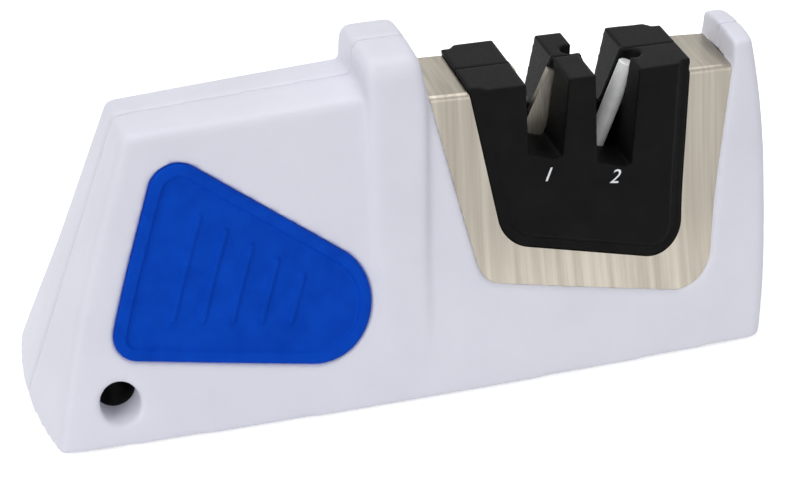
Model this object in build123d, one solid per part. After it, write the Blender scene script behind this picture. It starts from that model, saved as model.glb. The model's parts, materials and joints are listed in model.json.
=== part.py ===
from build123d import *
import math
import os

os.makedirs("parts", exist_ok=True)

# Pull through knife sharpener, lying along X on its base.
# Front is -Y, the handle points to -X, the origin is the bottom centre of the whole part.

# Overall form of the casing
tail_reach = 84.3
end_reach = 84.0
base_half_width = 27.6
knee_height = 29.0
knee_half_width = 16.4
top_half_width = 10.8
top_width_height = 66.0
knee_radius = 90.0
side_bulge_radius = 1600.0
build_height = 90.0
overrun = 6.0

# Handle top, tail end and outer end
handle_tail_height = 66.4
handle_rise = 2.35
handle_rise_run = 51.3
handle_top_setback = 23.2
wall_top_height = 68.4
crown_drop = 1.5
end_plan_radius = 112.0
end_belly_height = 34.0
end_belly = 2.2
end_top_setback = 4.1
tail_corner_radius = 2.4
end_corner_radius = 2.0
end_rim_radius = 1.0
top_edge_radius = 2.2

# Casing walls
wall = 3.0
floor_wall = 2.6
seat_wall = 1.3
fit_gap = 0.15
run_gap = 0.05

# Collar that rings the casing between handle and head, measured from the outer end
collar_left = 93.4
collar_low_right = 81.3
collar_foot_right = 79.8
collar_top_right = 82.7
collar_height = 76.4
collar_crown = 0.9
collar_proud = 2.6
collar_fade_height = 9.0
collar_shoulder = 5.0
collar_edge_radius = 2.2
collar_side_radius = 40.0

# Steel band, its corners as runs from the outer end and heights
band_left_run = 79.2
band_left_height = 65.25
band_right_run = 9.0
band_right_height = 62.1
band_low_left_run = 69.0
band_low_left_height = 22.3
band_low_right_run = 16.2
band_low_right_height = 12.2
band_low_left_radius = 6.3
band_low_right_radius = 8.8
band_thickness = 0.8
band_depth = 0.9
band_fold_radius = 1.4

# Black insert that holds the sharpening elements, its corners as runs from the outer end and heights
insert_top_left_run = 70.5
insert_top_right_run = 18.9
insert_top_height = 66.0
insert_top_fall = 0.8
insert_low_left_run = 63.6
insert_low_left_height = 29.6
insert_low_right_run = 22.2
insert_low_right_height = 19.9
insert_low_left_radius = 8.6
insert_low_right_radius = 7.6
insert_rim_depth = 0.7
plateau_proud = 0.9
plateau_margin = 2.4
plateau_bevel = 1.2
insert_flange = 1.6
insert_flange_thickness = 1.6
insert_tongue_half_depth = 7.0

# Slots, left walls as runs from the outer end, widths at the top and at the bottom
coarse_left_run = 57.9
coarse_mouth = 9.9
coarse_throat = 8.0
coarse_left_floor = 50.3
fine_left_run = 41.9
fine_mouth = 10.3
fine_throat = 8.0
fine_left_floor = 45.9
slot_floor_fall = 2.1
slot_low_share = 0.8
web_half_thickness = 0.6

# Carbide blades
blade_vertex_height = 55.5
blade_lean = 22.4
blade_thickness = 1.6
blade_width = 5.2
blade_low_reach = 7.6
blade_high_reach = 9.0
web_notch_step = 1.2

# Ceramic rods
rod_vertex_height = 54.0
rod_lean = 20.0
rod_radius = 2.0
rod_low_reach = 13.5
rod_high_reach = 10.6
rod_end_chamfer = 0.3

# Blue grips, corners before rounding, two as runs from the tail tip and the nose from the outer end
grip_top_run = 30.6
grip_top_height = 62.8
grip_low_left_run = 15.8
grip_low_left_height = 18.5
grip_nose_run = 59.9
grip_nose_height = 4.1
grip_top_radius = 6.3
grip_low_left_radius = 4.8
grip_nose_radius = 12.5
grip_depth = 1.5
grip_proud = 0.7
grip_rim = 2.6
grip_panel_drop = 0.9
grip_rib_width = 1.3
grip_rib_height = 0.7
grip_rib_count = 5
grip_first_rib_high = (37.9, 47.3)
grip_first_rib_low = (30.0, 24.5)
grip_last_rib_high = (109.1, 31.0)
grip_last_rib_low = (113.2, 20.7)
peg_radius = 1.5
peg_reach = 3.0
tail_pegs = ((30.5, 46.0), (27.0, 24.0))
nose_pegs = ((107.3, 23.0),)

# Hanging hole through the tail
hole_run = 17.2
hole_height = 9.2
hole_radius = 4.3
hole_sleeve = 1.8
hole_lip_radius = 0.9

# Screws that join the two shells, driven from the rear, as runs from the tail tip or the outer end
tail_screws = ((20.6, 46.0), (35.0, 8.0))
head_screws = ((88.3, 62.0), (73.3, 10.0), (9.7, 10.0))
screw_shank_radius = 1.45
screw_head_radius = 2.7
screw_head_height = 1.9
screw_seat = 5.0
screw_reach = 7.0
screw_recess_radius = 1.2
screw_recess_depth = 1.1
boss_radius = 3.4

# Screws that join the two insert halves, as runs from the outer end
insert_screws = ((58.3, 20.5), (30.3, 14.5))

# Rubber feet
foot_radius = 4.5
foot_height = 2.2
foot_proud = 0.6
foot_inset_x = 14.0
foot_inset_y = 9.0

length = tail_reach + end_reach


def from_tail(run):
    """X of a place at a distance from the tail tip."""
    return run - tail_reach


def from_end(run):
    """X of a place at a distance from the outer end."""
    return end_reach - run


def places(tail_side, head_side):
    """X and Z of places given by their runs from the tail tip and from the outer end."""
    return [(from_tail(run), z) for run, z in tail_side] + [(from_end(run), z) for run, z in head_side]


def prism_y(outline, near, far):
    """Push an outline drawn in X and Z from Y = near to Y = far."""
    start = Plane((0, far, 0), x_dir=(1, 0, 0), z_dir=(0, -1, 0))
    return extrude(start * outline, far - near)


def prism_x(outline, near, far):
    """Push an outline drawn in Y and Z from X = near to X = far."""
    start = Plane((near, 0, 0), x_dir=(0, 1, 0), z_dir=(1, 0, 0))
    return extrude(start * outline, far - near)


def shape(points, radii=None):
    """A face through the points, each corner rounded by its radius."""
    face = make_face(Polyline(*points, close=True))
    for point, radius in zip(points, radii or []):
        if radius:
            corner = face.vertices().sort_by_distance((point[0], point[1], 0))[0]
            face = fillet(corner, radius)
    return face


def bar_y(x, z, radius, near, far):
    """A round bar along Y through a place in X and Z."""
    start = Plane((x, far, z), z_dir=(0, -1, 0))
    return extrude(start * Circle(radius), far - near)


def half_width(z, inset=0):
    """Half width of the casing at a height, before the plan bulge."""
    low = (base_half_width - knee_half_width) / knee_height
    high = (knee_half_width - top_half_width) / (top_width_height - knee_height)
    if z < knee_height:
        return base_half_width - low * z - inset
    return knee_half_width - high * (z - knee_height) - inset


def side_face(x, z):
    """Y of the casing's front face at a place in X and Z."""
    return x * x / (2 * side_bulge_radius) - half_width(z)


def front_half():
    """Everything in front of the parting plane."""
    reach = 2 * length
    return Pos(0, -reach / 2, 0) * Box(reach, reach, reach)


def side_solid(inset, low, high):
    """Front half of the casing's cross section swept along its gentle plan bulge."""
    points = [
        (overrun, low),
        (-half_width(low, inset), low),
        (-half_width(knee_height, inset), knee_height),
        (-half_width(high, inset), high),
        (overrun, high),
    ]
    face = shape(points, [0, 0, knee_radius, 0, 0])
    turn = Axis((0, side_bulge_radius - base_half_width, 0), (0, 0, 1))
    reach = max(tail_reach, end_reach) + overrun
    span = math.degrees(2 * reach / side_bulge_radius)
    swept = revolve(Plane.YZ * face, turn, span)
    return swept.rotate(turn, -span / 2) & front_half()


def roof_cut(start, end, inset):
    """What lies over the crowned top between two points (x, z) of its ridge."""
    run = Vector(end[0] - start[0], 0, end[1] - start[1])
    side = top_half_width
    top = build_height
    far = base_half_width + overrun
    drop = -crown_drop
    arc = ThreePointArc((-side, drop), (0, 0), (side, drop))
    rest = Polyline((side, drop), (far, drop), (far, top), (-far, top), (-far, drop), (-side, drop))
    across = Plane((start[0], 0, start[1] - inset), x_dir=(0, 1, 0), z_dir=run.normalized())
    return extrude(across * make_face([arc, rest]), run.length)


def tail_keep(inset):
    """A large tilted cylinder whose skin is the tail end."""
    rise = Vector(handle_top_setback, 0, handle_tail_height).normalized()
    inward = Vector(rise.Z, 0, -rise.X)
    foot = Vector(-tail_reach, 0, 0) + inward * (end_plan_radius + inset)
    base = foot - rise * build_height
    tilted = Plane(base, x_dir=(0, 1, 0), z_dir=rise)
    return extrude(tilted * Circle(end_plan_radius), 2 * build_height + end_plan_radius)


def end_keep(inset):
    """A barrel whose skin is the outer end of the head."""
    low = end_plan_radius - inset - end_belly
    belly = end_plan_radius - inset
    high = end_plan_radius - inset - end_top_setback
    skin = ThreePointArc((low, 0), (belly, end_belly_height), (high, wall_top_height))
    tip = skin @ 1 + (skin % 1) * (2 * overrun)
    rest = Polyline((tip.X, tip.Y), (0, tip.Y), (0, 0), (low, 0))
    profile = make_face([skin, Line(skin @ 1, tip), rest])
    centre = end_reach - end_plan_radius
    upright = Plane((centre, 0, 0), x_dir=(1, 0, 0), z_dir=(0, -1, 0))
    return revolve(upright * profile, Axis((centre, 0, 0), (0, 0, 1)), 360)


def seat_height(x):
    """Height of the steel band's top at a place along X."""
    left = from_end(band_left_run)
    right = from_end(band_right_run)
    share = (x - left) / (right - left)
    return band_left_height + share * (band_right_height - band_left_height)


def collar_middle():
    """X of the middle of the collar, under which the two roofs meet."""
    return from_end((collar_left + collar_foot_right) / 2)


def blank(inset, low):
    """Front half of the casing under no roof yet, for one inset."""
    return side_solid(inset, low, build_height) & tail_keep(inset) & end_keep(inset)


def handle_roof_cut(inset):
    """What lies over the handle's roof between the tail and the collar."""
    slope = handle_rise / handle_rise_run
    ridge_start = from_tail(handle_top_setback)
    ends = []
    for x in (-tail_reach, collar_middle() + overrun / 2):
        ends.append((x, handle_tail_height + (x - ridge_start) * slope))
    return roof_cut(ends[0], ends[1], inset)


def head_roof_cut(start_height, end_height, inset):
    """What lies over the head's roof between the collar and the outer end."""
    return roof_cut((collar_middle(), start_height), (end_reach + overrun, end_height), inset)


def band_outline():
    """Outline of the steel band seen from the front."""
    points = [
        (from_end(band_left_run), build_height),
        (from_end(band_left_run), band_left_height),
        (from_end(band_low_left_run), band_low_left_height),
        (from_end(band_low_right_run), band_low_right_height),
        (from_end(band_right_run), band_right_height),
        (from_end(band_right_run), build_height),
    ]
    return shape(points, [0, 0, band_low_left_radius, band_low_right_radius, 0, 0])


def insert_outline():
    """Outline of the opening in the band that the insert fills."""
    points = [
        (from_end(insert_top_left_run), build_height),
        (from_end(insert_top_left_run), insert_top_height),
        (from_end(insert_low_left_run), insert_low_left_height),
        (from_end(insert_low_right_run), insert_low_right_height),
        (from_end(insert_top_right_run), insert_top_height),
        (from_end(insert_top_right_run), build_height),
    ]
    return shape(points, [0, 0, insert_low_left_radius, insert_low_right_radius, 0, 0])


def grip_outline():
    """Outline of a grip seen from the front."""
    points = [
        (from_tail(grip_top_run), grip_top_height),
        (from_tail(grip_low_left_run), grip_low_left_height),
        (from_end(grip_nose_run), grip_nose_height),
    ]
    return shape(points, [grip_top_radius, grip_low_left_radius, grip_nose_radius])


def under_line(left, right, drop):
    """Everything under a line (x, z) to (x, z), lowered by a drop."""
    slope = (right[1] - left[1]) / (right[0] - left[0])
    near = -length
    far = length
    near_z = left[1] + slope * (near - left[0]) - drop
    far_z = left[1] + slope * (far - left[0]) - drop
    face = shape([(near, -length), (far, -length), (far, far_z), (near, near_z)])
    return prism_y(face, -length, 0)


def band_form(depth):
    """What lies inside one skin of the folded band."""
    form = side_solid(depth, overrun, build_height)
    left = (from_end(band_left_run), band_left_height)
    right = (from_end(band_right_run), band_right_height)
    form &= under_line(left, right, depth - band_depth)
    fold = form.edges().filter_by_position(Axis.Z, band_right_height - overrun, build_height)
    fold = fold.sort_by(Axis.Y)[0]
    return fillet(fold, band_fold_radius - (depth - band_depth))


def make_collar():
    """The rounded rib that rings the casing, front half."""
    shoulder = half_width(collar_height) + collar_proud
    middle = half_width(knee_height) + collar_proud / 2
    across = shape(
        [
            (0, collar_fade_height),
            (-half_width(collar_fade_height), collar_fade_height),
            (-middle, knee_height),
            (-shoulder, collar_height - collar_crown),
            (0, collar_height),
        ],
        [0, 0, knee_radius, collar_shoulder, 0],
    )
    along = shape(
        [
            (from_end(collar_left), 0),
            (from_end(collar_low_right), 0),
            (from_end(collar_foot_right), collar_height - 2 * collar_shoulder),
            (from_end(collar_top_right), collar_height + overrun),
            (from_end(collar_left), collar_height + overrun),
        ],
        [0, 0, collar_side_radius, 0, 0],
    )
    ring = prism_x(across, from_end(collar_left) - overrun, from_end(collar_foot_right) + overrun)
    ring &= prism_y(along, -base_half_width - overrun, 0)
    rims = []
    for edge in ring.edges().filter_by_position(Axis.Z, collar_fade_height + run_gap, build_height):
        size = edge.bounding_box().size
        if edge.center().Y < -run_gap and size.X < max(size.Y, size.Z):
            rims.append(edge)
    return fillet(rims, collar_edge_radius)


def upright_edges(form, near, far):
    """Edges that climb between two places along X, away from the parting plane."""
    found = []
    for edge in form.edges().filter_by_position(Axis.X, near, far):
        rise = edge.bounding_box().size.Z
        lean = max(edge.bounding_box().size.X, edge.bounding_box().size.Y)
        if rise > lean and edge.center().Y < -overrun:
            found.append(edge)
    return found


def crown_edges(form, near, far):
    """Edges round the crowned top between two places along X, away from the parting plane."""
    found = []
    for edge in form.edges().filter_by_position(Axis.X, near, far):
        middle = edge.center()
        rise = edge.bounding_box().size.Z
        if middle.Z > band_right_height and middle.Y < -run_gap and rise < overrun:
            found.append(edge)
    return found


def casing_form():
    """Outside of the front half of the casing, solid all through."""
    middle = Plane.YZ.offset(collar_middle())
    solid = blank(0, foot_proud)
    handle = split(solid, bisect_by=middle, keep=Keep.BOTTOM) - handle_roof_cut(0)
    tail_edges = upright_edges(handle, -tail_reach, from_tail(handle_top_setback + overrun))
    handle = fillet(tail_edges, tail_corner_radius)
    handle = fillet(crown_edges(handle, -tail_reach, from_end(collar_left) - overrun), top_edge_radius)
    head = split(solid, bisect_by=middle, keep=Keep.TOP)
    head -= head_roof_cut(wall_top_height, wall_top_height, 0)
    head = fillet(upright_edges(head, from_end(3 * overrun), end_reach), end_corner_radius)
    head = fillet(crown_edges(head, from_end(collar_foot_right) + overrun, end_reach), end_rim_radius)
    return handle + head


def cavity_form():
    """Inside of the front half of the casing, its roof held under the band's seat."""
    under = band_thickness + seat_wall - wall - crown_drop
    start = seat_height(collar_middle()) - under
    end = seat_height(end_reach + overrun) - under
    hollow = blank(wall, foot_proud + floor_wall) - handle_roof_cut(wall)
    return hollow - head_roof_cut(start, end, wall)


def foot_places():
    """Centres of the four feet."""
    across = base_half_width - foot_inset_y
    ends = (from_tail(foot_inset_x), from_end(foot_inset_x))
    return [(x, y) for x in ends for y in (-across, across)]


def foot_pocket():
    """Recesses in the casing's underside that hold the feet."""
    pockets = []
    depth = foot_height - foot_proud + run_gap
    for x, y in foot_places():
        start = Plane((x, y, foot_proud - overrun))
        pockets.append(extrude(start * Circle(foot_radius + fit_gap), overrun + depth))
    return pockets


def make_shell_half():
    """Front half of the casing, before the screws are cut."""
    form = casing_form()
    ring = make_collar()
    skin = form + ring
    seat = prism_y(offset(band_outline(), fit_gap), -length, 0)
    skin -= seat - band_form(band_depth + band_thickness + run_gap)
    shell = skin - cavity_form()
    solid_parts = [bar_y(from_tail(hole_run), hole_height, hole_radius + hole_sleeve, -length, 0)]
    for x, z in places(tail_screws, head_screws):
        solid_parts.append(bar_y(x, z, boss_radius, -length, 0))
    for bar in solid_parts:
        shell += bar & form
    for pocket in foot_pocket():
        shell -= pocket
    shell -= prism_y(offset(insert_outline(), fit_gap), -length, 0)
    shell -= prism_y(offset(grip_outline(), fit_gap), -length, 0) - side_solid(grip_depth, 0, build_height)
    for x, z in places(tail_pegs, nose_pegs):
        shell -= bar_y(x, z, peg_radius + fit_gap, -length, -overrun)
    shell -= bar_y(from_tail(hole_run), hole_height, hole_radius, -length, 0)
    mouth = []
    for edge in shell.edges().filter_by_position(Axis.Y, -length, -overrun):
        reach = (edge.center() - Vector(from_tail(hole_run), edge.center().Y, hole_height)).length
        if reach < hole_radius and edge.length > hole_radius:
            mouth.append(edge)
    return fillet(mouth, hole_lip_radius)


def cut_front_pilots(shell):
    """Blind pilot holes that the shell screws bite into."""
    for x, z in places(tail_screws, head_screws):
        shell -= bar_y(x, z, screw_shank_radius + run_gap, -screw_reach - run_gap - fit_gap, 0)
    return shell


def cut_rear_seats(shell):
    """Through holes and deep seats for the shell screws' heads."""
    for x, z in places(tail_screws, head_screws):
        shell -= bar_y(x, z, screw_shank_radius + fit_gap, 0, length)
        shell -= bar_y(x, z, screw_head_radius + fit_gap, screw_seat, length)
    return shell


def screw(x, z, seat, reach):
    """A pan head screw along Y, its head behind the seat and its tip in front."""
    head = bar_y(x, z, screw_head_radius, seat, seat + screw_head_height)
    rim = head.edges().sort_by(Axis.Y)[-1]
    head = fillet(rim, screw_head_height / 3)
    shank = bar_y(x, z, screw_shank_radius, -reach, seat)
    tip = shank.edges().sort_by(Axis.Y)[0]
    shank = chamfer(tip, screw_shank_radius / 2)
    top = seat + screw_head_height
    cross = Box(2 * screw_recess_radius, screw_recess_depth, screw_recess_radius / 2)
    cross += Box(screw_recess_radius / 2, screw_recess_depth, 2 * screw_recess_radius)
    return head + shank - Pos(x, top - screw_recess_depth / 2, z) * cross


def make_band():
    """Folded steel saddle, front half mirrored onto the rear."""
    sheet = band_form(band_depth) - band_form(band_depth + band_thickness)
    half = (sheet & prism_y(band_outline(), -length, 0)) - prism_y(insert_outline(), -length, 0)
    return half + mirror(half, about=Plane.XZ)


def insert_top():
    """Everything under the insert's top."""
    left = (from_end(insert_top_left_run), insert_top_height)
    right = (from_end(insert_top_right_run), insert_top_height - insert_top_fall)
    return under_line(left, right, 0)


def plateau_outline():
    """Outline of the raised face of the insert."""
    return offset(insert_outline(), -plateau_margin)


def slot_outline(left, left_floor, mouth, throat):
    """Outline of a slot seen from the front, narrower at its floor, which falls away from its left wall."""
    points = [
        (left, build_height),
        (left, left_floor),
        (left + slot_low_share * throat, left_floor - slot_floor_fall),
        (left + throat, left_floor - slot_floor_fall),
        (left + mouth, insert_top_height),
        (left + mouth, build_height),
    ]
    return shape(points)


def vee(centre, vertex, lean):
    """An upright V that opens upwards from its vertex."""
    rise = build_height - vertex
    spread = rise * math.tan(math.radians(lean))
    return shape([(centre, vertex), (centre + spread, build_height), (centre - spread, build_height)])


coarse_centre = from_end(coarse_left_run) + coarse_mouth / 2
fine_centre = from_end(fine_left_run) + fine_mouth / 2


def blade_outline(grow):
    """Outline of the front blade, its edge on the right arm of the V."""
    width = blade_width + 2 * grow
    height = blade_low_reach + blade_high_reach + 2 * grow
    plate = Pos(blade_width / 2, (blade_high_reach - blade_low_reach) / 2) * Rectangle(width, height)
    return Pos(coarse_centre, blade_vertex_height) * Rot(0, 0, -blade_lean) * plate


def make_blade():
    """Front carbide blade, clamped against the web."""
    return prism_y(blade_outline(0), -web_half_thickness - blade_thickness, -web_half_thickness)


def rod_bar(radius, low, high):
    """A bar on the front rod's axis, its skin on the right arm of the V."""
    lean = math.radians(rod_lean)
    rise = Vector(math.sin(lean), 0, math.cos(lean))
    side = Vector(math.cos(lean), 0, -math.sin(lean))
    depth = -web_half_thickness - rod_radius - run_gap
    foot = Vector(fine_centre, depth, rod_vertex_height) + side * rod_radius - rise * low
    return extrude(Plane(foot, x_dir=(0, 1, 0), z_dir=rise) * Circle(radius), low + high)


def make_rod():
    """Front ceramic rod with its ends broken."""
    bar = rod_bar(rod_radius, rod_low_reach, rod_high_reach)
    return chamfer(bar.edges().filter_by(GeomType.CIRCLE), rod_end_chamfer)


def tongue_outline():
    """Outline of the tongue under the insert, which its screws go through."""
    margin = screw_head_radius + insert_flange
    first = insert_screws[0]
    last = insert_screws[-1]
    points = [
        (from_end(first[0] + margin), insert_low_left_height + margin),
        (from_end(first[0] + margin), first[1] - margin),
        (from_end(last[0] - margin), last[1] - margin),
        (from_end(last[0] - margin), insert_low_left_height + margin),
    ]
    return shape(points)


def make_insert_half():
    """Front half of the insert with its slots, web, seats and flange."""
    core = offset(insert_outline(), -fit_gap)
    body = prism_y(core, -length, 0) & side_solid(insert_rim_depth, overrun, build_height)
    face = prism_y(plateau_outline(), -length, 0) & side_solid(-plateau_proud, overrun, build_height)
    rims = [edge for edge in face.edges() if edge.center().Y < -overrun]
    rims = [edge for edge in rims if edge.center().Z < build_height - overrun]
    skin_edges = []
    for edge in rims:
        middle = edge.center()
        if middle.Y < -half_width(middle.Z) + plateau_proud:
            skin_edges.append(edge)
    face = chamfer(skin_edges, plateau_bevel)
    body += face
    body &= insert_top()
    flange = prism_y(offset(insert_outline(), insert_flange), -length, 0)
    flange &= cavity_form() & side_solid(wall + fit_gap, overrun, build_height)
    flange -= side_solid(wall + fit_gap + insert_flange_thickness, overrun, build_height)
    body += flange & insert_top()
    body += prism_y(tongue_outline(), -insert_tongue_half_depth, 0)
    coarse = slot_outline(from_end(coarse_left_run), coarse_left_floor, coarse_mouth, coarse_throat)
    fine = slot_outline(from_end(fine_left_run), fine_left_floor, fine_mouth, fine_throat)
    coarse_vee = vee(coarse_centre, blade_vertex_height - web_notch_step, blade_lean)
    fine_vee = vee(fine_centre, rod_vertex_height - web_notch_step, rod_lean)
    for slot, notch in ((coarse, coarse_vee), (fine, fine_vee)):
        body -= prism_y(slot, -length, -web_half_thickness)
        body -= prism_y(notch, -length, 0) & prism_y(slot, -length, 0)
    return body


def element_seats():
    """Tools that cut the seats of the front blade and the front rod, each with its turning line."""
    back = -web_half_thickness
    blade_seat = prism_y(blade_outline(run_gap), back - blade_thickness - run_gap, back)
    rod_seat = rod_bar(rod_radius + run_gap, rod_low_reach + run_gap, rod_high_reach + overrun)
    return ((blade_seat, coarse_centre), (rod_seat, fine_centre))


def turned(piece, centre):
    """A front element turned half a turn about its slot's upright centre line, so that the pair crosses."""
    return piece.rotate(Axis((centre, 0, 0), (0, 0, 1)), 180)


def side_layer(outer_inset, inner_inset):
    """The layer of the front face between two insets."""
    return side_solid(outer_inset, 0, build_height) - side_solid(inner_inset, 0, build_height)


def grip_rib_outlines():
    """Slanted raised ribs of a grip, spaced evenly from its high end to its low end."""
    high_ends = (grip_first_rib_high, grip_last_rib_high)
    low_ends = (grip_first_rib_low, grip_last_rib_low)
    outlines = []
    for count in range(grip_rib_count):
        share = count / (grip_rib_count - 1)
        ends = []
        for first, last in (high_ends, low_ends):
            start = Vector(from_tail(first[0]), first[1])
            stop = Vector(from_end(last[0]), last[1])
            ends.append(start + (stop - start) * share)
        run = ends[0] - ends[1]
        middle = (ends[0] + ends[1]) / 2
        lean = math.degrees(math.atan2(run.Y, run.X))
        bar = SlotOverall(run.length, grip_rib_width)
        outlines.append(Pos(middle.X, middle.Y) * Rot(0, 0, lean) * bar)
    return outlines


def make_grip():
    """Front grip with its rim, sunk panel, ribs and pegs."""
    outline = grip_outline()
    pad = prism_y(outline, -length, 0) & side_layer(-grip_proud, grip_depth - run_gap)
    skin = []
    for edge in pad.edges():
        middle = edge.center()
        if middle.Y < -half_width(middle.Z) - grip_proud / 2:
            skin.append(edge)
    pad = fillet(skin, grip_proud)
    sunk = side_layer(-grip_proud - overrun, grip_panel_drop - grip_proud)
    pad -= prism_y(offset(outline, -grip_rim), -length, 0) & sunk
    raised = side_layer(grip_panel_drop - grip_proud - grip_rib_height, grip_depth / 2)
    for rib in grip_rib_outlines():
        pad += prism_y(rib, -length, 0) & raised
    for x, z in places(tail_pegs, nose_pegs):
        inner = side_face(x, z) + grip_depth
        pad += bar_y(x, z, peg_radius, inner - grip_depth / 2, inner + peg_reach)
    return pad


def make_foot(x, y):
    """A rubber foot with a rounded tread."""
    foot = extrude(Plane((x, y, 0)) * Circle(foot_radius), foot_height)
    return fillet(foot.edges().sort_by(Axis.Z)[0], foot_proud / 2)


def make_rear(piece):
    """Mirror image of a front piece, for the rear."""
    return mirror(piece, about=Plane.XZ)


def save(name, piece):
    """Write one sub-part to its own file."""
    export_step(piece, os.path.join("parts", name + ".step"))


shell_half = make_shell_half()
save("front_shell", cut_front_pilots(shell_half))
save("rear_shell", cut_rear_seats(make_rear(shell_half)))

grip = make_grip()
save("front_grip", grip)
save("rear_grip", make_rear(grip))

save("steel_band", make_band())

insert_half = make_insert_half()
front_insert = insert_half
rear_insert = make_rear(insert_half)
for seat, centre in element_seats():
    front_insert -= seat
    rear_insert -= turned(seat, centre)
for x, z in places((), insert_screws):
    front_insert -= bar_y(x, z, screw_shank_radius + run_gap, -insert_tongue_half_depth + wall / 2, 0)
    rear_insert -= bar_y(x, z, screw_shank_radius + fit_gap, 0, length)
    rear_insert -= bar_y(x, z, screw_head_radius + fit_gap, screw_seat, length)
save("insert_front", front_insert)
save("insert_rear", rear_insert)

blade = make_blade()
save("coarse_blade_front", blade)
save("coarse_blade_rear", turned(blade, coarse_centre))

rod = make_rod()
save("fine_rod_front", rod)
save("fine_rod_rear", turned(rod, fine_centre))

outer_screws = [screw(x, z, screw_seat, screw_reach) for x, z in places(tail_screws, head_screws)]
save("shell_screws", Compound(children=outer_screws))
inner_screws = [screw(x, z, screw_seat, screw_seat) for x, z in places((), insert_screws)]
save("insert_screws", Compound(children=inner_screws))

names = ("foot_tail_front", "foot_tail_rear", "foot_head_front", "foot_head_rear")
for name, (x, y) in zip(names, foot_places()):
    save(name, make_foot(x, y))
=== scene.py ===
import json
import math

import bpy
import numpy as np
from mathutils import Matrix, Vector


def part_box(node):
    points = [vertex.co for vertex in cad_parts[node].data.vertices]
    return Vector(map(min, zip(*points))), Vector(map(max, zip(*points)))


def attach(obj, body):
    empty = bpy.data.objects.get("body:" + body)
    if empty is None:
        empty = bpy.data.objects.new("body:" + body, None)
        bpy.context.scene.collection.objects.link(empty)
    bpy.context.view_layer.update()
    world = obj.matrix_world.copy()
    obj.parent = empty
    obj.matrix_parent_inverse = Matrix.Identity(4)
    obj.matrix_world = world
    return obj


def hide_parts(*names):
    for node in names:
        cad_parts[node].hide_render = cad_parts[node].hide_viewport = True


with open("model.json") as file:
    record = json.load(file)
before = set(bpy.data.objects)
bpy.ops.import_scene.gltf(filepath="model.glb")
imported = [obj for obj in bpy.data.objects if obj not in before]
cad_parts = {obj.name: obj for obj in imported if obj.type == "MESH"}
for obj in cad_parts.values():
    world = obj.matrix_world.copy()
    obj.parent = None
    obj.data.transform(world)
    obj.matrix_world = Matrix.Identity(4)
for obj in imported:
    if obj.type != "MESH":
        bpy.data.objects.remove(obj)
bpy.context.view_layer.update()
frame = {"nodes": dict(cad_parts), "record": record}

MM = 0.001

# Camera: where it stands, how it is turned, and its focal length in pixels of the 800 pixel wide picture
CAMERA_PLACE_MM = (-138.8, -458.6, 310.6)
CAMERA_AZIMUTH = -17.0
CAMERA_ELEVATION = 30.8
FOCAL_PIXELS = 2508.0
PICTURE_WIDTH_PIXELS = 800.0
SENSOR_MM = 36.0

# Side faces of the casing, as the solids have them
TAIL_REACH_MM = 84.3
KNEE_HEIGHT_MM = 29.0
KNEE_HALF_WIDTH_MM = 16.4
TOP_HALF_WIDTH_MM = 10.8
TOP_WIDTH_HEIGHT_MM = 66.0
BULGE_RADIUS_MM = 1600.0
PLATEAU_PROUD_MM = 0.9

# Hanging hole, and how far in from the middle the painted shade inside it reaches
HOLE_X_MM = -67.1
HOLE_HEIGHT_MM = 9.2
HOLE_RADIUS_MM = 4.3
HOLE_SKIN_MM = 0.4
HOLE_PAINTED_SHADE_Y_MM = 16.0


def node_box(name):
    """Corners of a CAD node in metres."""
    low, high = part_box(name)
    return Vector(low), Vector(high)


# Node materials

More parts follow.
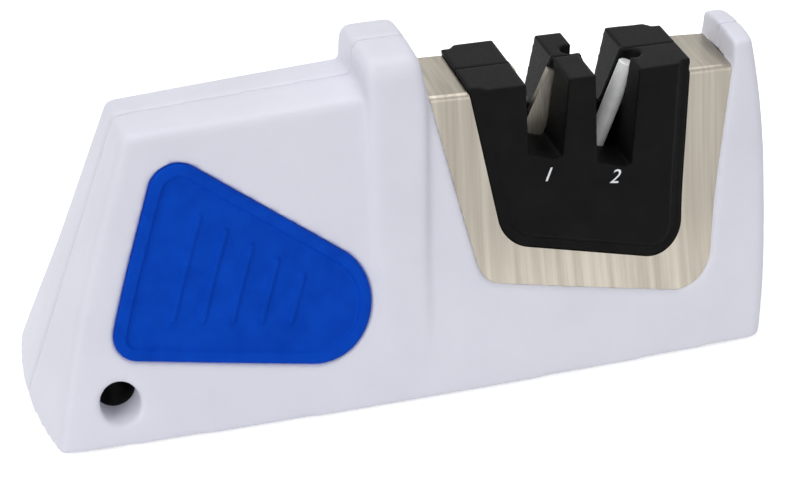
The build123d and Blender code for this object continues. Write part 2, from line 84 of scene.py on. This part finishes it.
class Finish:
    """A principled material with helpers for procedural detail."""

    def __init__(self, name, color, roughness, metallic=0.0, shine=0.5):
        self.material = bpy.data.materials.new(name)
        self.material.use_nodes = True
        self.tree = self.material.node_tree
        self.shader = self.tree.nodes["Principled BSDF"]
        self.shader.inputs["Base Color"].default_value = (*color, 1.0)
        self.shader.inputs["Roughness"].default_value = roughness
        self.shader.inputs["Metallic"].default_value = metallic
        self.shader.inputs["Specular IOR Level"].default_value = shine
        self.place = self.node("ShaderNodeTexCoord").outputs["Object"]

    def node(self, kind, **values):
        made = self.tree.nodes.new(kind)
        for key, value in values.items():
            if key in made.inputs:
                made.inputs[key].default_value = value
            else:
                setattr(made, key, value)
        return made

    def link(self, start, end):
        self.tree.links.new(start, end)

    def stretched(self, scale, turn=(0.0, 0.0, 0.0)):
        mapping = self.node("ShaderNodeMapping")
        mapping.inputs["Scale"].default_value = scale
        mapping.inputs["Rotation"].default_value = turn
        self.link(self.place, mapping.inputs["Vector"])
        return mapping.outputs["Vector"]

    def noise(self, scale, detail=3.0, roughness=0.55, place=None):
        made = self.node("ShaderNodeTexNoise", Scale=scale, Detail=detail, Roughness=roughness)
        self.link(place or self.place, made.inputs["Vector"])
        return made.outputs["Fac"]

    def spread(self, value, low, high):
        made = self.node("ShaderNodeMapRange")
        made.inputs["From Min"].default_value = 0.3
        made.inputs["From Max"].default_value = 0.7
        made.inputs["To Min"].default_value = low
        made.inputs["To Max"].default_value = high
        self.link(value, made.inputs["Value"])
        return made.outputs["Result"]

    def tint(self, value, low, high):
        ramp = self.node("ShaderNodeValToRGB")
        ramp.color_ramp.elements[0].position = 0.3
        ramp.color_ramp.elements[0].color = (*low, 1.0)
        ramp.color_ramp.elements[1].position = 0.7
        ramp.color_ramp.elements[1].color = (*high, 1.0)
        self.link(value, ramp.inputs["Fac"])
        self.link(ramp.outputs["Color"], self.shader.inputs["Base Color"])

    def darken(self, share, color):
        """Blend the base colour into a dark one where the share is one."""
        before = self.shader.inputs["Base Color"].links[0].from_socket
        mix = self.node("ShaderNodeMix", data_type="RGBA")
        colors = [socket for socket in mix.inputs if socket.type == "RGBA"]
        colors[1].default_value = (*color, 1.0)
        self.link(share, mix.inputs["Factor"])
        self.link(before, colors[0])
        result = [socket for socket in mix.outputs if socket.type == "RGBA"][0]
        self.link(result, self.shader.inputs["Base Color"])

    def math(self, operation, first, second):
        made = self.node("ShaderNodeMath", operation=operation)
        for socket, value in zip(made.inputs, (first, second)):
            if isinstance(value, float):
                socket.default_value = value
            else:
                self.link(value, socket)
        return made.outputs["Value"]

    def rough(self, value, low, high):
        self.link(self.spread(value, low, high), self.shader.inputs["Roughness"])

    def bump(self, layers):
        """Bump layers as (height socket, strength, distance in metres), one on top of another."""
        normal = None
        for height, strength, distance in layers:
            made = self.node("ShaderNodeBump", Strength=strength, Distance=distance)
            self.link(height, made.inputs["Height"])
            if normal:
                self.link(normal, made.inputs["Normal"])
            normal = made.outputs["Normal"]
        self.link(normal, self.shader.inputs["Normal"])


def bore_painted_shade(finish):
    """One deep inside the hanging hole, where shade is painted dark onto the bore wall, and zero elsewhere."""
    parts = finish.node("ShaderNodeSeparateXYZ")
    finish.link(finish.place, parts.inputs["Vector"])
    across = finish.math("SUBTRACT", parts.outputs["X"], HOLE_X_MM * MM)
    rise = finish.math("SUBTRACT", parts.outputs["Z"], HOLE_HEIGHT_MM * MM)
    square = finish.math("ADD", finish.math("MULTIPLY", across, across), finish.math("MULTIPLY", rise, rise))
    near = finish.math("LESS_THAN", square, ((HOLE_RADIUS_MM + HOLE_SKIN_MM) * MM) ** 2)
    deep = finish.math("LESS_THAN", finish.math("ABSOLUTE", parts.outputs["Y"], 0.0), HOLE_PAINTED_SHADE_Y_MM * MM)
    return finish.math("MULTIPLY", near, deep)


def casing_finish():
    """White moulded plastic with a fine spark-eroded grain."""
    finish = Finish("casing_white", (0.78, 0.78, 0.86), 0.42, shine=0.3)
    cloud = finish.noise(60.0, 4.0)
    grain = finish.noise(2600.0, 2.0)
    finish.tint(cloud, (0.76, 0.76, 0.84), (0.80, 0.80, 0.88))
    # painted shade: the deep inside of the hanging hole is coloured nearly black in place of its shadow
    finish.darken(bore_painted_shade(finish), (0.02, 0.017, 0.02))
    finish.rough(grain, 0.36, 0.48)
    finish.bump([(grain, 0.12, 0.00006), (finish.noise(350.0, 2.0), 0.08, 0.0001)])
    return finish.material


def grip_finish():
    """Soft blue rubber with a dry, slightly mottled skin."""
    finish = Finish("grip_blue", (0.0, 0.055, 0.49), 0.5, shine=0.05)
    cloud = finish.noise(180.0, 4.0)
    grain = finish.noise(3200.0, 2.0)
    finish.tint(cloud, (0.0, 0.052, 0.46), (0.001, 0.068, 0.55))
    finish.rough(grain, 0.42, 0.6)
    finish.bump([(grain, 0.2, 0.00006)])
    return finish.material


def insert_finish():
    """Black moulded plastic, matt with a faint sheen."""
    finish = Finish("insert_black", (0.005, 0.005, 0.0055), 0.42, shine=0.06)
    cloud = finish.noise(140.0, 4.0)
    grain = finish.noise(2800.0, 2.0)
    finish.tint(cloud, (0.0035, 0.0035, 0.004), (0.007, 0.007, 0.0075))
    finish.rough(grain, 0.36, 0.52)
    finish.bump([(grain, 0.15, 0.00005)])
    return finish.material


def steel_finish():
    """Stainless sheet brushed up and down."""
    finish = Finish("band_steel", (0.36, 0.33, 0.28), 0.34, 1.0)
    lines = finish.noise(1.0, 5.0, 0.7, finish.stretched((3200.0, 60.0, 40.0)))
    streaks = finish.noise(1.0, 3.0, 0.6, finish.stretched((520.0, 30.0, 9.0)))
    finish.tint(streaks, (0.30, 0.27, 0.225), (0.42, 0.39, 0.335))
    finish.rough(lines, 0.26, 0.44)
    finish.bump([(lines, 0.25, 0.00003)])
    finish.shader.inputs["Anisotropic"].default_value = 0.6
    return finish.material


def carbide_finish():
    """Ground tungsten carbide with fine slanted grinding lines."""
    finish = Finish("carbide", (0.50, 0.46, 0.39), 0.38, 1.0)
    lines = finish.noise(1.0, 4.0, 0.65, finish.stretched((2200.0, 60.0, 160.0), (0.0, math.radians(24.0), 0.0)))
    finish.tint(lines, (0.42, 0.385, 0.32), (0.60, 0.56, 0.49))
    finish.rough(lines, 0.3, 0.5)
    finish.bump([(lines, 0.3, 0.00003)])
    return finish.material


def ceramic_finish():
    """Unglazed white ceramic, very fine and slightly warm."""
    finish = Finish("rod_ceramic", (0.86, 0.86, 0.85), 0.45)
    cloud = finish.noise(500.0, 4.0)
    grain = finish.noise(5200.0, 2.0)
    finish.tint(cloud, (0.80, 0.80, 0.79), (0.89, 0.89, 0.88))
    finish.rough(grain, 0.38, 0.55)
    finish.bump([(grain, 0.15, 0.00003)])
    return finish.material


def screw_finish():
    """Zinc plated steel."""
    finish = Finish("screw_steel", (0.55, 0.55, 0.56), 0.3, 1.0)
    cloud = finish.noise(900.0, 4.0)
    finish.tint(cloud, (0.46, 0.46, 0.47), (0.62, 0.62, 0.63))
    finish.rough(cloud, 0.24, 0.42)
    finish.bump([(cloud, 0.1, 0.00003)])
    return finish.material


def foot_finish():
    """Dark rubber."""
    finish = Finish("foot_rubber", (0.03, 0.03, 0.033), 0.75)
    grain = finish.noise(2400.0, 3.0)
    finish.tint(grain, (0.024, 0.024, 0.026), (0.04, 0.04, 0.043))
    finish.rough(grain, 0.65, 0.85)
    finish.bump([(grain, 0.25, 0.00006)])
    return finish.material


def print_finish():
    """White pad printing."""
    finish = Finish("print_white", (0.85, 0.86, 0.88), 0.55)
    grain = finish.noise(4200.0, 3.0)
    finish.tint(grain, (0.78, 0.79, 0.81), (0.9, 0.91, 0.93))
    finish.rough(grain, 0.45, 0.65)
    finish.bump([(grain, 0.1, 0.00002)])
    return finish.material


FINISHES = {
    "casing_white": casing_finish(),
    "grip_blue": grip_finish(),
    "insert_black": insert_finish(),
    "band_steel": steel_finish(),
    "carbide": carbide_finish(),
    "rod_ceramic": ceramic_finish(),
    "screw_steel": screw_finish(),
    "foot_rubber": foot_finish(),
}
PRINT_WHITE = print_finish()
SLOTS = {part["node"]: part["material_slot"] for part in frame["record"]["subparts"]}


def dress_nodes():
    """Give each CAD node its finish in its own material slots."""
    for name, node in frame["nodes"].items():
        finish = FINISHES[SLOTS[name]]
        if not node.material_slots:
            node.data.materials.append(finish)
        for slot in node.material_slots:
            slot.material = finish


# Moulded edges: a fine remesh of a solid whose sharp edges are then relaxed

def relax(points, edges, rounds, weights):
    """Move each point towards the middle of its neighbours, as far as its weight says."""
    counts = np.bincount(edges.ravel(), minlength=len(points)).astype(float)[:, None]
    for _ in range(rounds):
        total = np.zeros_like(points)
        for start, end in ((0, 1), (1, 0)):
            for axis in range(3):
                total[:, axis] += np.bincount(
                    edges[:, start], weights=points[edges[:, end], axis], minlength=len(points)
                )
        points += (total / counts - points) * weights[:, None]
    return points


def moulded_copy(name, node_name, voxel, rounds, weigh):
    """A finely meshed copy of a CAD node with softened edges, which stands for the node."""
    source = frame["nodes"][node_name]
    raw = bpy.data.objects.new(name + "_raw", source.data.copy())
    bpy.context.collection.objects.link(raw)
    weld = raw.modifiers.new("weld", "WELD")
    weld.merge_threshold = 0.000002
    remesh = raw.modifiers.new("remesh", "REMESH")
    remesh.mode = "VOXEL"
    remesh.voxel_size = voxel
    remesh.adaptivity = 0.0
    view = bpy.context.evaluated_depsgraph_get()
    mesh = bpy.data.meshes.new_from_object(raw.evaluated_get(view))
    bpy.data.objects.remove(raw)
    mesh.name = name
    points = np.empty(len(mesh.vertices) * 3)
    mesh.vertices.foreach_get("co", points)
    points = points.reshape(-1, 3)
    edges = np.empty(len(mesh.edges) * 2, dtype=np.int64)
    mesh.edges.foreach_get("vertices", edges)
    edges = edges.reshape(-1, 2)
    relaxed = relax(points, edges, rounds, weigh(points))
    mesh.vertices.foreach_set("co", relaxed.ravel())
    mesh.shade_smooth()
    mesh.materials.clear()
    mesh.materials.append(FINISHES[SLOTS[node_name]])
    piece = bpy.data.objects.new(name, mesh)
    bpy.context.collection.objects.link(piece)
    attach(piece, "root")
    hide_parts(node_name)
    return piece


def even(amount):
    """The same weight all over."""
    return lambda points: np.full(len(points), amount)


def face_y(x, z):
    """Y of the raised insert face at a place, in millimetres."""
    lean = (KNEE_HALF_WIDTH_MM - TOP_HALF_WIDTH_MM) / (TOP_WIDTH_HEIGHT_MM - KNEE_HEIGHT_MM)
    half = KNEE_HALF_WIDTH_MM - lean * (z - KNEE_HEIGHT_MM)
    return -(half - x * x / (2 * BULGE_RADIUS_MM) + PLATEAU_PROUD_MM)


def numeral(text, x, z):
    """A pad printed number on the front of the insert."""
    curve = bpy.data.curves.new("numeral_" + text, "FONT")
    curve.body = text
    curve.size = 4.6 * MM
    curve.shear = 0.25
    curve.align_x = "CENTER"
    curve.align_y = "CENTER"
    curve.extrude = 0.03 * MM
    curve.resolution_u = 8
    holder = bpy.data.objects.new("numeral_curve", curve)
    bpy.context.collection.objects.link(holder)
    view = bpy.context.evaluated_depsgraph_get()
    mesh = bpy.data.meshes.new_from_object(holder.evaluated_get(view))
    bpy.data.objects.remove(holder)
    lean = math.atan((KNEE_HALF_WIDTH_MM - TOP_HALF_WIDTH_MM) / (TOP_WIDTH_HEIGHT_MM - KNEE_HEIGHT_MM))
    turn = Matrix.Rotation(math.radians(90.0) - lean, 4, "X") @ Matrix.Rotation(math.radians(-9.0), 4, "Z")
    place = Matrix.Translation(Vector((x, face_y(x, z) - 0.03, z)) * MM)
    mesh.transform(place @ turn)
    mesh.materials.append(PRINT_WHITE)
    piece = bpy.data.objects.new("printed_numeral_" + text, mesh)
    bpy.context.collection.objects.link(piece)
    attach(piece, "root")
    return piece


# Floor, lights and camera

def direct_sight(tree, paths):
    """One for what the camera sees, straight or in a reflection, and zero for the light that falls."""
    either = tree.nodes.new("ShaderNodeMath")
    either.operation = "MAXIMUM"
    tree.links.new(paths.outputs["Is Camera Ray"], either.inputs[0])
    tree.links.new(paths.outputs["Is Glossy Ray"], either.inputs[1])
    return either.outputs["Value"]


def make_floor():
    """A plain pale floor."""
    mesh = bpy.data.meshes.new("floor")
    reach = 6.0
    corners = [(-reach, -reach, 0), (reach, -reach, 0), (reach, reach, 0), (-reach, reach, 0)]
    mesh.from_pydata(corners, [], [(0, 1, 2, 3)])
    floor = bpy.data.objects.new("floor", mesh)
    bpy.context.collection.objects.link(floor)
    material = bpy.data.materials.new("floor_pale")
    material.use_nodes = True
    tree = material.node_tree
    shader = tree.nodes["Principled BSDF"]
    shader.inputs["Base Color"].default_value = (0.93, 0.93, 0.93, 1.0)
    shader.inputs["Roughness"].default_value = 0.9
    paths = tree.nodes.new("ShaderNodeLightPath")
    glow = tree.nodes.new("ShaderNodeEmission")
    glow.inputs["Color"].default_value = (1.0, 1.0, 1.0, 1.0)
    glow.inputs["Strength"].default_value = 0.55
    both = tree.nodes.new("ShaderNodeAddShader")
    pick = tree.nodes.new("ShaderNodeMixShader")
    tree.links.new(shader.outputs["BSDF"], both.inputs[0])
    tree.links.new(glow.outputs["Emission"], both.inputs[1])
    tree.links.new(direct_sight(tree, paths), pick.inputs["Fac"])
    tree.links.new(shader.outputs["BSDF"], pick.inputs[1])
    tree.links.new(both.outputs["Shader"], pick.inputs[2])
    tree.links.new(pick.outputs["Shader"], tree.nodes["Material Output"].inputs["Surface"])
    mesh.materials.append(material)


def make_world():
    """Soft pale surroundings, plain white where the camera or a reflection sees them."""
    world = bpy.data.worlds.new("studio")
    world.use_nodes = True
    bpy.context.scene.world = world
    tree = world.node_tree
    back = tree.nodes["Background"]
    back.inputs["Color"].default_value = (0.93, 0.95, 1.0, 1.0)
    back.inputs["Strength"].default_value = 0.26
    seen = tree.nodes.new("ShaderNodeBackground")
    seen.inputs["Color"].default_value = (1.0, 1.0, 1.0, 1.0)
    seen.inputs["Strength"].default_value = 1.0
    paths = tree.nodes.new("ShaderNodeLightPath")
    pick = tree.nodes.new("ShaderNodeMixShader")
    tree.links.new(direct_sight(tree, paths), pick.inputs["Fac"])
    tree.links.new(back.outputs["Background"], pick.inputs[1])
    tree.links.new(seen.outputs["Background"], pick.inputs[2])
    tree.links.new(pick.outputs["Shader"], tree.nodes["World Output"].inputs["Surface"])


def soft_light(name, place, size, power, target=(0.0, 0.0, 0.035)):
    """A square soft box that looks at the object."""
    light = bpy.data.lights.new(name, "AREA")
    light.shape = "SQUARE"
    light.size = size
    light.energy = power
    lamp = bpy.data.objects.new(name, light)
    lamp.location = place
    lamp.rotation_euler = (Vector(target) - Vector(place)).to_track_quat("-Z", "Y").to_euler()
    bpy.context.collection.objects.link(lamp)


def make_lights():
    """A large box overhead, one from the left and a weak one in front."""
    soft_light("overhead", (0.05, 0.25, 1.3), 1.2, 9.5)
    soft_light("left_key", (-1.0, -0.7, 0.8), 0.8, 6.5)
    soft_light("front_fill", (0.4, -1.4, 0.5), 1.0, 3.5)


def make_camera():
    """The photograph's viewing angle."""
    azimuth = math.radians(CAMERA_AZIMUTH)
    elevation = math.radians(CAMERA_ELEVATION)
    back = Vector((
        math.sin(azimuth) * math.cos(elevation),
        -math.cos(azimuth) * math.cos(elevation),
        math.sin(elevation),
    ))
    right = Vector((math.cos(azimuth), math.sin(azimuth), 0.0))
    up = back.cross(right)
    lens = bpy.data.cameras.new("camera")
    lens.sensor_width = SENSOR_MM
    lens.lens = FOCAL_PIXELS / PICTURE_WIDTH_PIXELS * SENSOR_MM
    lens.clip_start = 0.01
    camera = bpy.data.objects.new("camera", lens)
    turn = Matrix((right, up, back)).transposed().to_4x4()
    camera.matrix_world = Matrix.Translation(Vector(CAMERA_PLACE_MM) * MM) @ turn
    bpy.context.collection.objects.link(camera)
    bpy.context.scene.camera = camera


make_camera()
make_world()
make_lights()
make_floor()
dress_nodes()

moulded_copy("front_casing", "front_shell", 0.55 * MM, 6, even(0.5))
moulded_copy("rear_casing", "rear_shell", 0.55 * MM, 6, even(0.5))
moulded_copy("front_pad", "front_grip", 0.3 * MM, 4, even(0.5))
moulded_copy("rear_pad", "rear_grip", 0.3 * MM, 4, even(0.5))
moulded_copy("front_block", "insert_front", 0.3 * MM, 3, even(0.5))
moulded_copy("rear_block", "insert_rear", 0.3 * MM, 3, even(0.5))
numeral("1", 30.3, 44.9)
numeral("2", 46.0, 41.9)

bpy.context.scene.view_settings.view_transform = "Standard"
